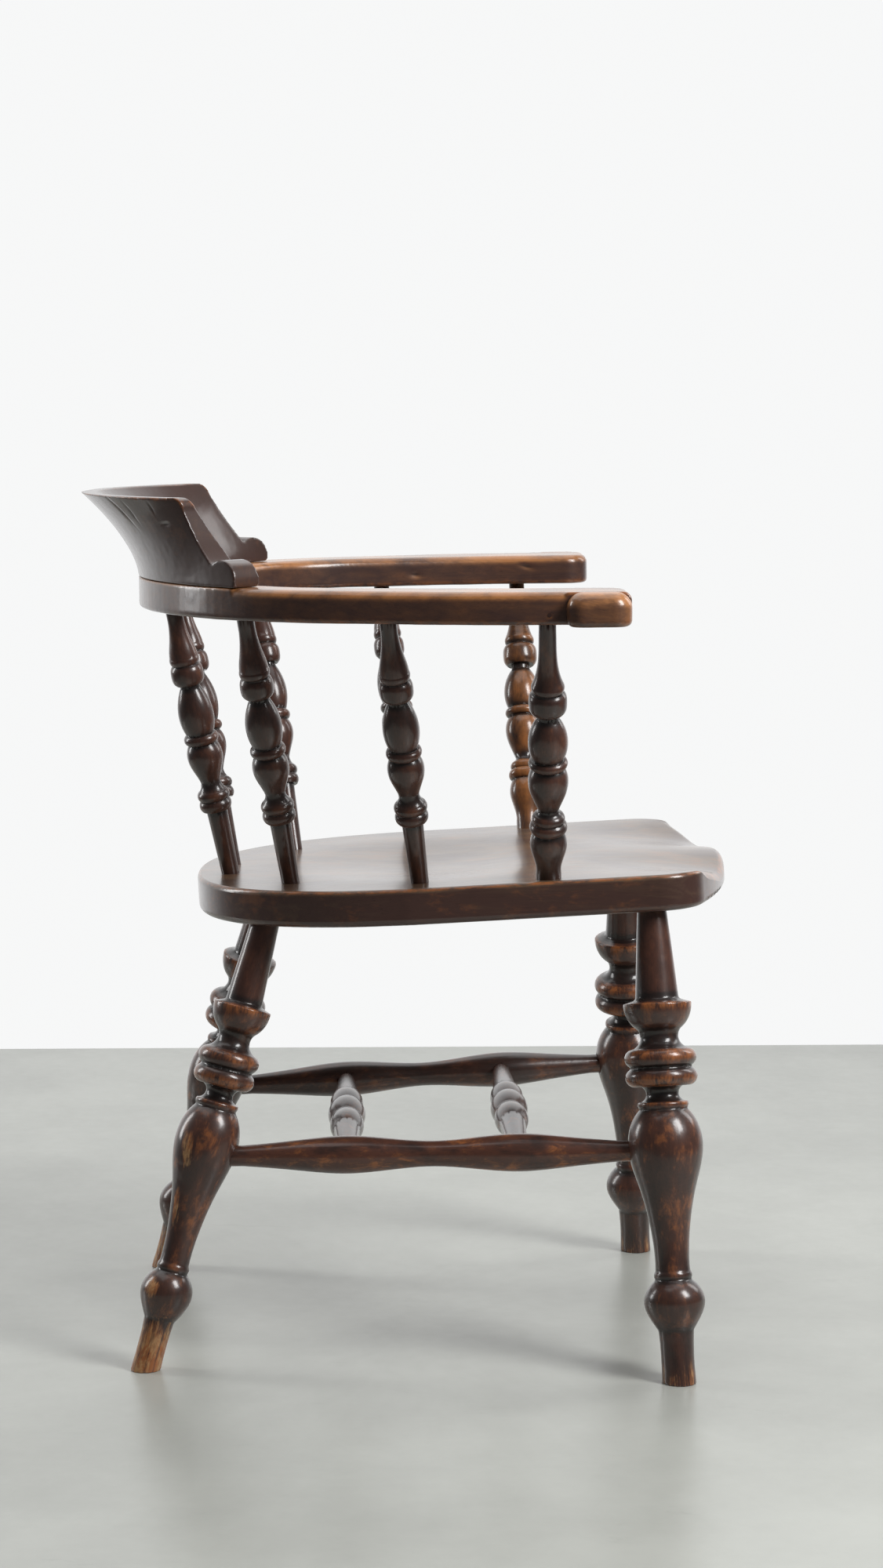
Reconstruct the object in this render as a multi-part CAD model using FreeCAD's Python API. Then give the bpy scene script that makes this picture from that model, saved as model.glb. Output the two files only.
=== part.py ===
import FreeCAD, Part
import math
import os

# A turned captain's chair with a low bow back, in millimetres.
# Z is up, the chair faces -Y, and X = 0 is its mirror plane.
# The origin is on the floor, under the middle of the overall width and depth.

V = FreeCAD.Vector
SIDES = (("right", -1), ("left", 1))

# A tenon stops this far short of the bottom of its socket
SOCKET_END_GAP = 1.0

# Seat plank: its outline is widest between a round back and a gently bowed front
SEAT_HEIGHT = 443.0
SEAT_SLOPE = 3.06
SEAT_WIDTH = 412.0
SEAT_FRONT_LENGTH = 269.0
SEAT_BACK_LENGTH = 230.0
SEAT_BACK_SQUARENESS = 2.4
SEAT_FRONT_BOW_RADIUS = 480.0
SEAT_CORNER_RADIUS = 45.0
SEAT_THICKNESS = 33.5
SEAT_TOP_ROUND = 5.0
SEAT_BOTTOM_ROUND = 6.0

# Carving of the seat's top: a round dish, and a scoop for each leg beside a middle ridge
DISH_DEPTH = 8.0
DISH_RADIUS = 165.0
DISH_FROM_BACK = 225.0
SCOOP_SPACING = 194.0
SCOOP_DEPTH = 18.0
RIDGE_DROP = 8.0
SCOOP_LENGTH = 190.0
NOSE_RADIUS = 9.0
NOSE_END_FROM_SIDE = 16.0
CARVING_STEPS = 24
SEAT_PLANING = 0.25

# Legs: where each one meets the underside of the seat, and how far it leans, in degrees
FRONT_LEG_FROM_SIDE = 30.0
FRONT_LEG_FROM_FRONT = 82.0
FRONT_LEG_SPLAY = 10.2
FRONT_LEG_RAKE = -2.9
BACK_LEG_FROM_SIDE = 76.0
BACK_LEG_FROM_BACK = 65.0
BACK_LEG_SPLAY = 9.3
BACK_LEG_RAKE = 15.3
LEG_SOCKET_DEPTH = 18.0

# Turning of a leg, from the floor upwards: the length and radius of each member.
# A back leg has the same pattern with slimmer members. The steps of a ball, vase or cup
# are shares of its length and of its radius.
BACK_LEG_SLIMNESS = 0.865
FOOT_LENGTH = 47.0
FOOT_RADIUS = 15.7
FOOT_WAIST_RADIUS = 15.2
FOOT_TOP_RADIUS = 16.3
BALL_LENGTH = 45.5
BALL_RADIUS = 27.9
BALL_SHARES = ((0.22, 0.81), (0.57, 1.0), (0.86, 0.82))
SHAFT_RING_LENGTH = 7.5
SHAFT_RING_RADIUS = 17.6
SHAFT_RADIUS = 16.0
VASE_LENGTH = 147.5
VASE_RADIUS = 34.2
VASE_TOP_RADIUS = 20.5
VASE_SHARES = ((0.25, 0.524), (0.5, 0.74), (0.78, 1.0), (0.92, 0.86))
FILLET_LENGTH = 5.5
FILLET_RADIUS = 23.4
FILLET_EDGE_RADIUS = 22.4
NECK_LENGTH = 13.5
NECK_RADIUS = 14.9
RING_LENGTH = 17.3
RING_RADIUS = 33.0
RING_GROOVE_RADIUS = 25.5
REEL_LENGTH = 17.5
REEL_RADIUS = 17.5
CUP_LENGTH = 23.5
CUP_FOOT_RADIUS = 20.0
CUP_RIM_RADIUS = 31.2
CUP_SHARES = ((0.35, 0.88), (0.75, 0.985))
CUP_SLOPE_LENGTH = 3.5
TAPER_RADIUS = 20.0
LEG_TOP_RADIUS = 13.4

# Side stretchers: heights along the legs, and the turning about the middle
STRETCHER_ON_FRONT_LEG = 208.5
STRETCHER_ON_BACK_LEG = 200.5
STRETCHER_SOCKET_DEPTH = 15.0
STRETCHER_END_RADIUS = 9.4
STRETCHER_SHOW = 8.0
STRETCHER_TAPER_RADIUS = 13.7
STRETCHER_BULGE_RADIUS = 17.3
STRETCHER_WAIST_RADIUS = 11.7
STRETCHER_BULGE_SPACING = 157.0

# Cross stretchers, let into the bulges of the side stretchers
CROSS_NECK_RADIUS = 8.7
CROSS_SOCKET_DEPTH = 11.0
CROSS_SHOW = 4.0
CROSS_CONE_RADIUS = 12.4
CROSS_BEAD_LENGTH = 48.0
CROSS_BEAD_RADIUS = 16.0
CROSS_GROOVE_RADIUS = 13.4
CROSS_MIDDLE_LENGTH = 56.0
CROSS_MIDDLE_RADIUS = 17.8

# Arm bow, seen from above: an arc behind the sitter that runs out into two arms
ARM_TOP_HEIGHT = 714.5
ARM_RISE = 0.5
ARM_THICKNESS = 29.0
BOW_OVERHANG = 53.0
BOW_RADIUS = 317.0
BOW_WIDTH = 50.0
BOW_ANGLE = 45.0
ELBOW_REACH = 291.0
ELBOW_WIDTH = 58.0
ELBOW_FROM_BACK = 223.0
ELBOW_ANGLE = 65.0
ARM_REACH = 322.0
ARM_WIDTH = 66.0
ARM_LENGTH = 441.0
ARM_TOP_ROUND = 8.0
ARM_BOTTOM_ROUND = 4.0
ARM_TIP_ROUND = 24.0

# Hand blocks, glued to the outer side of the arm tips
HAND_LENGTH = 57.0
HAND_WIDTH = 18.0
HAND_DROP = 1.5
HAND_FRONT_ROUND = 17.0
HAND_BACK_ROUND = 15.0
HAND_TOP_ROUND = 14.0
HAND_BOTTOM_ROUND = 6.0

# Crest rail, which stands on the bow and flares backwards
CREST_HEIGHT = 79.0
CREST_FLARE = 53.0
CREST_TOP_RADIUS = 232.0
CREST_FLARE_POWER = 1.6
CREST_BASE_THICKNESS = 30.0
CREST_TOP_THICKNESS = 14.0
CREST_LOFT_ANGLE = 52.0
CREST_LOFT_SECTIONS = 9
CREST_END_ANGLE = 42.4
LOBE_RADIUS = 18.4
LOBE_HEIGHT = 6.1
NOTCH_ANGLE = 131.0
OGEE_REACH = 40.0
CREST_SHOULDER_DROP = 3.0
OGEE_SAG = 4.0
CREST_CORNER_RADIUS = 8.5

# Fasteners
DOWEL_RADIUS = 5.0
DOWEL_DEPTH = 20.0
DOWEL_ANGLES = (7.0, 30.0)
PIN_RADIUS = 1.8
PIN_LENGTH = 38.0
PIN_END_GAP = 0.5
PIN_ABOVE_UNDERSIDE = 9.0

# Spindles: places on the seat, and places along the bow
BACK_SPINDLE_X = 29.5
BACK_SPINDLE_FROM_BACK = 32.0
BACK_SPINDLE_BOW_ANGLE = 15.3
BEND_SPINDLE_FROM_SIDE = 88.0
BEND_SPINDLE_FROM_BACK = 90.0
BEND_SPINDLE_BOW_ANGLE = 43.3
SIDE_SPINDLE_FROM_SIDE = 42.0
SIDE_SPINDLE_FROM_FRONT = 291.0
SIDE_SPINDLE_FROM_BOW_BACK = 231.0
FRONT_SPINDLE_FROM_SIDE = 21.5
FRONT_SPINDLE_FROM_FRONT = 174.6
FRONT_SPINDLE_BEHIND_ARM_TIP = 71.6
SPINDLE_SOCKET_DEPTH = 17.0
SPINDLE_TOP_RADIUS = 7.7

# A spindle's tenon runs on past the wood around it by this much before its turning starts
SPINDLE_LEAD = 6.0

# Shapes that both spindle patterns share, as shares of a member's length and radius
PEG_VASE_SHARES = ((0.4, 0.83), (0.73, 1.0), (0.9, 0.93))
LOW_VASE_SHARES = ((0.23, 0.74), (0.59, 1.0), (0.91, 0.91))
HIGH_VASE_SHARES = ((0.16, 0.93), (0.45, 1.0), (0.77, 0.83))
SPINDLE_CUP_SHARES = ((0.14, 0.93), (0.5, 1.0), (0.88, 0.92))
CONE_BEAD_SHARES = ((0.25, 0.96), (0.65, 1.0))

# Turning of a long spindle, from the seat upwards; cone_radii are at even steps up the cone
LONG_SPINDLE = {
    "foot_radius": 8.4,
    "peg_length": 64.7,
    "peg_radius": 9.8,
    "ring_length": 10.2,
    "ring_radius": 15.2,
    "collar_length": 9.6,
    "collar_radius": 15.2,
    "collar_top_radius": 12.2,
    "ring_groove_radius": 13.2,
    "cove_length": 8.0,
    "cove_radius": 9.9,
    "neck_radius": 9.2,
    "low_vase_length": 38.1,
    "vase_radius": 16.5,
    "groove_radius": 13.0,
    "middle_ring_length": 9.9,
    "middle_ring_radius": 16.3,
    "high_vase_length": 46.0,
    "high_neck_length": 2.5,
    "cup_length": 19.4,
    "cup_foot_radius": 11.9,
    "cup_radius": 15.3,
    "cup_groove_radius": 12.2,
    "cone_bead_length": 7.6,
    "cone_bead_radius": 14.0,
    "cone_bead_top_radius": 13.4,
    "cone_radii": (12.2, 10.3, 8.8),
}

# Turning of the stouter front spindle, which has a vase in place of the peg
STOUT_SPINDLE = {
    "foot_radius": 11.5,
    "peg_length": 49.0,
    "peg_radius": 16.7,
    "ring_length": 11.0,
    "ring_radius": 17.1,
    "collar_length": 8.2,
    "collar_radius": 14.9,
    "collar_top_radius": 11.9,
    "ring_groove_radius": 13.9,
    "cove_length": 4.1,
    "cove_radius": 9.8,
    "neck_radius": 9.2,
    "low_vase_length": 43.5,
    "vase_radius": 17.8,
    "groove_radius": 13.9,
    "middle_ring_length": 9.1,
    "middle_ring_radius": 17.6,
    "high_vase_length": 41.5,
    "high_neck_length": 4.6,
    "cup_length": 21.7,
    "cup_foot_radius": 13.3,
    "cup_radius": 17.1,
    "cup_groove_radius": 13.2,
    "cone_bead_length": 7.3,
    "cone_bead_radius": 14.9,
    "cone_bead_top_radius": 14.3,
    "cone_radii": (10.6, 8.8, 8.1),
}

# Places that follow from the sizes above
OVERALL_DEPTH = SEAT_FRONT_LENGTH + SEAT_BACK_LENGTH + BOW_OVERHANG + CREST_FLARE
SEAT_FRONT_Y = -OVERALL_DEPTH / 2
SEAT_BACK_Y = SEAT_FRONT_Y + SEAT_FRONT_LENGTH + SEAT_BACK_LENGTH
BOW_BACK_Y = SEAT_BACK_Y + BOW_OVERHANG
SEAT_TILT = FreeCAD.Placement(V(0, 0, SEAT_HEIGHT), FreeCAD.Rotation(V(1, 0, 0), -SEAT_SLOPE))
BOW_PIVOT = V(0, BOW_BACK_Y, ARM_TOP_HEIGHT)
BOW_TILT = FreeCAD.Placement(BOW_PIVOT, FreeCAD.Rotation(V(1, 0, 0), -ARM_RISE), V(0, 0, 0))


class Turning:
    """A profile turned about an axis, built from its lower end upwards."""

    def __init__(self, radius, start=0.0, slimness=1.0):
        self.start = start
        self.slimness = slimness
        self.points = [V(radius * slimness, 0, start)]
        self.edges = []

    def add(self, curve, end):
        self.edges.append(curve.toShape())
        self.points.append(end)

    def line(self, length, radius):
        """A straight or conical member; a length of 0 makes a flat shoulder."""
        begin = self.points[-1]
        end = V(radius * self.slimness, 0, begin.z + length)
        self.add(Part.LineSegment(begin, end), end)

    def bead(self, length, middle_radius, radius):
        """A round member: one arc through its middle, swelling or hollow."""
        begin = self.points[-1]
        middle = V(middle_radius * self.slimness, 0, begin.z + length / 2)
        end = V(radius * self.slimness, 0, begin.z + length)
        self.add(Part.Arc(begin, middle, end), end)

    def sweep(self, length, steps, radius, scale=1.0):
        """A smooth member through steps of (share of the length, share of the scale)."""
        begin = self.points[-1]
        end = V(radius * self.slimness, 0, begin.z + length)
        points = [begin]
        for share, step_radius in steps:
            points.append(V(step_radius * scale * self.slimness, 0, begin.z + share * length))
        points.append(end)
        curve = Part.BSplineCurve()
        curve.interpolate(points)
        self.add(curve, end)

    def height(self):
        return self.points[-1].z

    def solid(self, origin, direction):
        top = V(0, 0, self.points[-1].z)
        bottom = V(0, 0, self.start)
        closing = [
            Part.makeLine(self.points[-1], top),
            Part.makeLine(top, bottom),
            Part.makeLine(bottom, self.points[0]),
        ]
        face = Part.Face(Part.Wire(self.edges + closing))
        body = face.revolve(V(0, 0, 0), V(0, 0, 1), 360)
        body = Part.makeSolid(body) if body.ShapeType != "Solid" else body
        body.Placement = FreeCAD.Placement(origin, FreeCAD.Rotation(V(0, 0, 1), direction))
        return body


def unit(vector):
    return vector / vector.Length


def rod(origin, direction, start, end, radius):
    """A plain cylinder along an axis, between two distances from its origin."""
    direction = unit(direction)
    return Part.makeCylinder(radius, end - start, origin + direction * start, direction)


def cut_all(shape, tools):
    for tool in tools:
        shape = shape.cut(tool)
    return shape


def extruded(edges, bottom, top):
    """A prism on a closed outline that is drawn at height 0."""
    face = Part.Face(Part.Wire(edges))
    face.translate(V(0, 0, bottom))
    return face.extrude(V(0, 0, top - bottom))


def rounded_edges(shape, radius, chosen):
    """Round the edges whose middle point passes the test."""
    picked = []
    for edge in shape.Edges:
        middle = edge.valueAt((edge.FirstParameter + edge.LastParameter) / 2)
        if chosen(middle, edge):
            picked.append(edge)
    return shape.makeFillet(radius, picked)


def is_level(edge):
    return abs(edge.firstVertex().Z - edge.lastVertex().Z) < 1


def spline(points, start_tangent, end_tangent):
    curve = Part.BSplineCurve()
    curve.interpolate(Points=points, InitialTangent=start_tangent, FinalTangent=end_tangent)
    return curve


def point_at_y(curve, y):
    """The point where a curve that runs forwards crosses a line across the chair."""
    low = curve.FirstParameter
    high = curve.LastParameter
    for _ in range(40):
        middle = (low + high) / 2
        if curve.value(middle).y > y:
            low = middle
        else:
            high = middle
    return curve.value(low)


# Seat


def seat_outline():
    """The back is half a superellipse; straight sides, round corners and a bow follow."""
    half_width = SEAT_WIDTH / 2
    widest_y = SEAT_BACK_Y - SEAT_BACK_LENGTH
    back_points = []
    for step in range(25):
        turn = math.pi * step / 24
        power = 2 / SEAT_BACK_SQUARENESS
        across = math.copysign(abs(math.cos(turn)) ** power, math.cos(turn))
        along = abs(math.sin(turn)) ** power
        back_points.append(V(half_width * across, widest_y + SEAT_BACK_LENGTH * along, 0))
    back = spline(back_points, V(0, 1, 0), V(0, -1, 0))
    bow_centre = V(0, SEAT_FRONT_Y + SEAT_FRONT_BOW_RADIUS, 0)
    reach = SEAT_FRONT_BOW_RADIUS - SEAT_CORNER_RADIUS
    corner_x = half_width - SEAT_CORNER_RADIUS
    left_corner = V(corner_x, bow_centre.y - math.sqrt(reach**2 - corner_x**2), 0)
    to_bow = unit(left_corner - bow_centre)
    bow_end = bow_centre + to_bow * SEAT_FRONT_BOW_RADIUS
    corner_middle = left_corner + unit(to_bow + V(1, 0, 0)) * SEAT_CORNER_RADIUS
    side_end = V(half_width, left_corner.y, 0)

    def other(point):
        return V(-point.x, point.y, 0)

    return [
        back.toShape(),
        Part.makeLine(other(V(half_width, widest_y, 0)), other(side_end)),
        Part.Arc(other(side_end), other(corner_middle), other(bow_end)).toShape(),
        Part.Arc(other(bow_end), V(0, SEAT_FRONT_Y, 0), bow_end).toShape(),
        Part.Arc(bow_end, corner_middle, side_end).toShape(),
        Part.makeLine(side_end, V(half_width, widest_y, 0)),
    ]


def carved_depth(x, y):
    """How far the seat's top is carved below the plank's face."""
    dish_y = SEAT_BACK_Y - DISH_FROM_BACK
    from_middle = min(1, math.hypot(x, y - dish_y) / DISH_RADIUS)
    dish = DISH_DEPTH * (1 - from_middle**2) ** 2
    valley = SCOOP_SPACING / 2
    ridge = 1 - RIDGE_DROP / SCOOP_DEPTH
    if abs(x) < valley:
        width_share = 1 - ridge * math.cos(math.pi / 2 * abs(x) / valley) ** 2
    else:
        beyond = min(1, (abs(x) - valley) / (SEAT_WIDTH / 2 - valley))
        width_share = math.cos(math.pi / 2 * beyond) ** 2
    length_share = max(0, 1 - (y - SEAT_FRONT_Y) / SCOOP_LENGTH) ** 2
    return dish + SCOOP_DEPTH * width_share * length_share


def nose_depth(x, from_front):
    """The quarter round of the front edge, which runs out towards the corners."""
    fade_length = SEAT_CORNER_RADIUS - NOSE_END_FROM_SIDE
    from_end = SEAT_WIDTH / 2 - NOSE_END_FROM_SIDE - abs(x)
    fade = math.sin(math.pi / 2 * min(1, max(0, from_end / fade_length))) ** 2
    # Past this share of the quarter round, its tangent carries on, clear of the plank
    steepest = 0.93
    inward = 1 - from_front / NOSE_RADIUS
    around = min(steepest, max(0, inward))
    slope = steepest / math.sqrt(1 - steepest**2)
    drop = 1 - math.sqrt(1 - around**2) + slope * max(0, inward - steepest)
    return NOSE_RADIUS * drop * fade


def carving_tool():
    """The space above the carved top: rows of points across the plank, and past its edges."""
    margin = SEAT_THICKNESS / 3
    nose_steps = (-0.7, -0.35, 0, 0.1, 0.22, 0.38, 0.58, 0.8)
    distances = [NOSE_RADIUS * share for share in nose_steps]
    depth = SEAT_BACK_Y - SEAT_FRONT_Y + margin - NOSE_RADIUS
    for step in range(CARVING_STEPS + 1):
        distances.append(NOSE_RADIUS + depth * step / CARVING_STEPS)
    rows = []
    for step in range(CARVING_STEPS + 1):
        x = (SEAT_WIDTH + 2 * margin) * (step / CARVING_STEPS - 0.5)
        bow_y = SEAT_FRONT_Y + SEAT_FRONT_BOW_RADIUS - math.sqrt(SEAT_FRONT_BOW_RADIUS**2 - x**2)
        row = []
        for distance in distances:
            y = bow_y + distance
            row.append(V(x, y, -carved_depth(x, max(y, bow_y)) - nose_depth(x, distance)))
        rows.append(row)
    surface = Part.BSplineSurface()
    surface.interpolate(rows)
    return surface.toShape().extrude(V(0, 0, 2 * SEAT_THICKNESS))


def seat_blank():
    """The plank with its rounded edges, planed and carved on top."""
    plank = extruded(seat_outline(), -SEAT_THICKNESS, SEAT_PLANING)
    bottom = 1 - SEAT_THICKNESS
    plank = rounded_edges(plank, SEAT_TOP_ROUND, lambda p, e: is_level(e) and p.z > -1)
    plank = rounded_edges(plank, SEAT_BOTTOM_ROUND, lambda p, e: is_level(e) and p.z < bottom)
    plank = plank.cut(carving_tool()).Solids[0]
    plank.Placement = SEAT_TILT
    return plank


def on_seat(x, y, depth=0.0):
    return SEAT_TILT.multVec(V(x, y, -depth))


# Legs


def leg_line(end, side):
    """A leg's point on the floor, and its point on the underside of the seat."""
    if end == "front":
        x = SEAT_WIDTH / 2 - FRONT_LEG_FROM_SIDE
        y = SEAT_FRONT_Y + FRONT_LEG_FROM_FRONT
        splay = FRONT_LEG_SPLAY
        rake = FRONT_LEG_RAKE
    else:
        x = SEAT_WIDTH / 2 - BACK_LEG_FROM_SIDE
        y = SEAT_BACK_Y - BACK_LEG_FROM_BACK
        splay = BACK_LEG_SPLAY
        rake = BACK_LEG_RAKE
    top = on_seat(side * x, y, SEAT_THICKNESS)
    lean = V(side * math.tan(math.radians(splay)), math.tan(math.radians(rake)), -1)
    return top + lean * top.z, top


def slimness(end):
    return 1.0 if end == "front" else BACK_LEG_SLIMNESS


def leg(end, side):
    """A turned leg, cut flat on the floor, and the tool for its socket."""
    foot, top = leg_line(end, side)
    length = (top - foot).Length
    overshoot = FOOT_RADIUS
    taper_radius = TAPER_RADIUS * slimness(end)
    turned = Turning(FOOT_RADIUS, -overshoot, slimness(end))
    turned.line(overshoot, FOOT_RADIUS)
    turned.bead(FOOT_LENGTH, FOOT_WAIST_RADIUS, FOOT_TOP_RADIUS)
    turned.sweep(BALL_LENGTH, BALL_SHARES, SHAFT_RADIUS, BALL_RADIUS)
    turned.bead(SHAFT_RING_LENGTH, SHAFT_RING_RADIUS, SHAFT_RADIUS)
    turned.sweep(VASE_LENGTH, VASE_SHARES, VASE_TOP_RADIUS, VASE_RADIUS)
    turned.line(0, FILLET_EDGE_RADIUS)
    turned.bead(FILLET_LENGTH, FILLET_RADIUS, FILLET_EDGE_RADIUS)
    turned.line(0, VASE_TOP_RADIUS)
    turned.bead(NECK_LENGTH, NECK_RADIUS, RING_GROOVE_RADIUS)
    turned.bead(RING_LENGTH, RING_RADIUS, RING_GROOVE_RADIUS)
    turned.bead(RING_LENGTH, RING_RADIUS, RING_GROOVE_RADIUS)
    turned.bead(REEL_LENGTH, REEL_RADIUS, CUP_FOOT_RADIUS)
    turned.sweep(CUP_LENGTH, CUP_SHARES, CUP_RIM_RADIUS, CUP_RIM_RADIUS)
    turned.line(CUP_SLOPE_LENGTH, TAPER_RADIUS)
    below = turned.height()
    slope = (LEG_TOP_RADIUS - taper_radius) / (length - below)
    depth = length - below + LEG_SOCKET_DEPTH
    turned.line(depth, (taper_radius + slope * depth) / slimness(end))
    body = turned.solid(foot, top - foot)
    floor = Part.makeBox(8 * FOOT_RADIUS, 8 * FOOT_RADIUS, 2 * FOOT_RADIUS)
    floor.translate(foot - V(4 * FOOT_RADIUS, 4 * FOOT_RADIUS, 2 * FOOT_RADIUS))
    socket = Turning(taper_radius, below)
    reach = depth + SOCKET_END_GAP
    socket.line(reach, taper_radius + slope * reach)
    return body.cut(floor), socket.solid(foot, top - foot)


# Stretchers


def on_leg(end, side, height):
    foot, top = leg_line(end, side)
    return foot + unit(top - foot) * height


def stretcher_ends(side):
    back = on_leg("back", side, STRETCHER_ON_BACK_LEG)
    front = on_leg("front", side, STRETCHER_ON_FRONT_LEG)
    return back, front


def bulge_places(side):
    """Distances of the two bulges along a side stretcher, from the back leg's axis."""
    back, front = stretcher_ends(side)
    middle = (front - back).Length / 2
    return middle - STRETCHER_BULGE_SPACING / 2, middle, middle + STRETCHER_BULGE_SPACING / 2


def side_stretcher(side):
    """A turned side stretcher and the tools for its sockets in the back and front legs."""
    back, front = stretcher_ends(side)
    length = (front - back).Length
    insets = [VASE_RADIUS * slimness(end) - STRETCHER_SOCKET_DEPTH for end in ("back", "front")]
    plain = STRETCHER_SOCKET_DEPTH + STRETCHER_SHOW
    begin = insets[0] + plain
    span = length - insets[1] - plain - begin
    first, middle, last = [(place - begin) / span for place in bulge_places(side)]
    steps = [
        (first / 2, STRETCHER_TAPER_RADIUS),
        (first, STRETCHER_BULGE_RADIUS),
        (middle, STRETCHER_WAIST_RADIUS),
        (last, STRETCHER_BULGE_RADIUS),
        ((1 + last) / 2, STRETCHER_TAPER_RADIUS),
    ]
    turned = Turning(STRETCHER_END_RADIUS, insets[0])
    turned.line(plain, STRETCHER_END_RADIUS)
    turned.sweep(span, steps, STRETCHER_END_RADIUS)
    turned.line(plain, STRETCHER_END_RADIUS)
    tools = []
    for start, finish, inset in ((back, front, insets[0]), (front, back, insets[1])):
        low = inset - SOCKET_END_GAP
        tools.append(rod(start, finish - start, low, inset + plain, STRETCHER_END_RADIUS))
    return turned.solid(back, front - back), tools


def cross_ends(which):
    """Points on the axes of the two side stretchers, at their back or front bulges."""
    ends = []
    for _, side in SIDES:
        back, front = stretcher_ends(side)
        places = bulge_places(side)
        place = places[0] if which == "back" else places[2]
        ends.append(back + unit(front - back) * place)
    return ends


def cross_stretcher(which):
    """A turned cross stretcher and the tools for its sockets in the side stretchers."""
    right, left = cross_ends(which)
    length = (left - right).Length
    inset = STRETCHER_BULGE_RADIUS - CROSS_SOCKET_DEPTH
    plain = CROSS_SOCKET_DEPTH + CROSS_SHOW
    turned_length = 2 * CROSS_BEAD_LENGTH + CROSS_MIDDLE_LENGTH
    cone = (length - turned_length) / 2 - inset - plain
    turned = Turning(CROSS_NECK_RADIUS, inset)
    turned.line(plain, CROSS_NECK_RADIUS)
    turned.line(cone, CROSS_CONE_RADIUS)
    turned.bead(CROSS_BEAD_LENGTH, CROSS_BEAD_RADIUS, CROSS_GROOVE_RADIUS)
    turned.bead(CROSS_MIDDLE_LENGTH, CROSS_MIDDLE_RADIUS, CROSS_GROOVE_RADIUS)
    turned.bead(CROSS_BEAD_LENGTH, CROSS_BEAD_RADIUS, CROSS_CONE_RADIUS)
    turned.line(cone, CROSS_NECK_RADIUS)
    turned.line(plain, CROSS_NECK_RADIUS)
    low = inset - SOCKET_END_GAP
    tools = [
        rod(right, left - right, low, inset + plain, CROSS_NECK_RADIUS),
        rod(left, right - left, low, inset + plain, CROSS_NECK_RADIUS),
    ]
    return turned.solid(right, left - right), tools


# Arm bow: drawn with its back edge on Y = 0 and its top on Z = 0, then tilted into place


def on_bow(radius, angle, z=0.0):
    turn = math.radians(angle)
    return V(radius * math.sin(turn), radius * math.cos(turn) - BOW_RADIUS, z)


def arm_curves():
    """The outer and inner edges of the left arm between the bow and the hand."""
    end_y = HAND_LENGTH - ARM_LENGTH
    tangent = on_bow(1, BOW_ANGLE + 90) - on_bow(0, 0)
    forward = V(0, -1, 0)
    outward = V(math.sin(math.radians(ELBOW_ANGLE)), math.cos(math.radians(ELBOW_ANGLE)), 0)
    elbow = V(ELBOW_REACH, -ELBOW_FROM_BACK, 0)
    outer = spline([on_bow(BOW_RADIUS, BOW_ANGLE), elbow, V(ARM_REACH, end_y, 0)], tangent, forward)
    inner_points = [
        on_bow(BOW_RADIUS - BOW_WIDTH, BOW_ANGLE),
        elbow - outward * ELBOW_WIDTH,
        V(ARM_REACH - ARM_WIDTH, end_y, 0),
    ]
    return outer, spline(inner_points, tangent, forward)


def bow_block():
    """Half of the bow behind the sitter, square on top where the crest stands."""
    inner_radius = BOW_RADIUS - BOW_WIDTH
    half_angle = BOW_ANGLE / 2
    outer = [on_bow(BOW_RADIUS, angle) for angle in (0, half_angle, BOW_ANGLE)]
    inner = [on_bow(inner_radius, angle) for angle in (BOW_ANGLE, half_angle, 0)]
    edges = [
        Part.Arc(*outer).toShape(),
        Part.makeLine(outer[-1], inner[0]),
        Part.Arc(*inner).toShape(),
        Part.makeLine(inner[-1], outer[0]),
    ]
    block = extruded(edges, -ARM_THICKNESS, 0)
    reach = BOW_RADIUS - BOW_WIDTH / 2

    def is_inner(point, edge):
        return edge.Length > BOW_WIDTH and (point - on_bow(0, 0, point.z)).Length < reach

    def is_bottom(point, edge):
        return edge.Length > BOW_WIDTH and point.z < 1 - ARM_THICKNESS

    block = rounded_edges(block, ARM_TOP_ROUND, lambda p, e: is_inner(p, e) and p.z > -1)
    return rounded_edges(block, ARM_BOTTOM_ROUND, is_bottom)


def arm_block():
    """The arm between the bow and the hand, rounded along all four edges."""
    outer, inner = arm_curves()
    edges = [
        outer.toShape(),
        Part.makeLine(outer.EndPoint, inner.EndPoint),
        inner.toShape(),
        Part.makeLine(inner.StartPoint, outer.StartPoint),
    ]
    block = extruded(edges, -ARM_THICKNESS, 0)
    long_edge = 2 * ARM_WIDTH
    bottom = 1 - ARM_THICKNESS
    block = rounded_edges(block, ARM_TOP_ROUND, lambda p, e: e.Length > long_edge and p.z > -1)
    return rounded_edges(block, ARM_BOTTOM_ROUND, lambda p, e: e.Length > long_edge and p.z < bottom)


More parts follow.
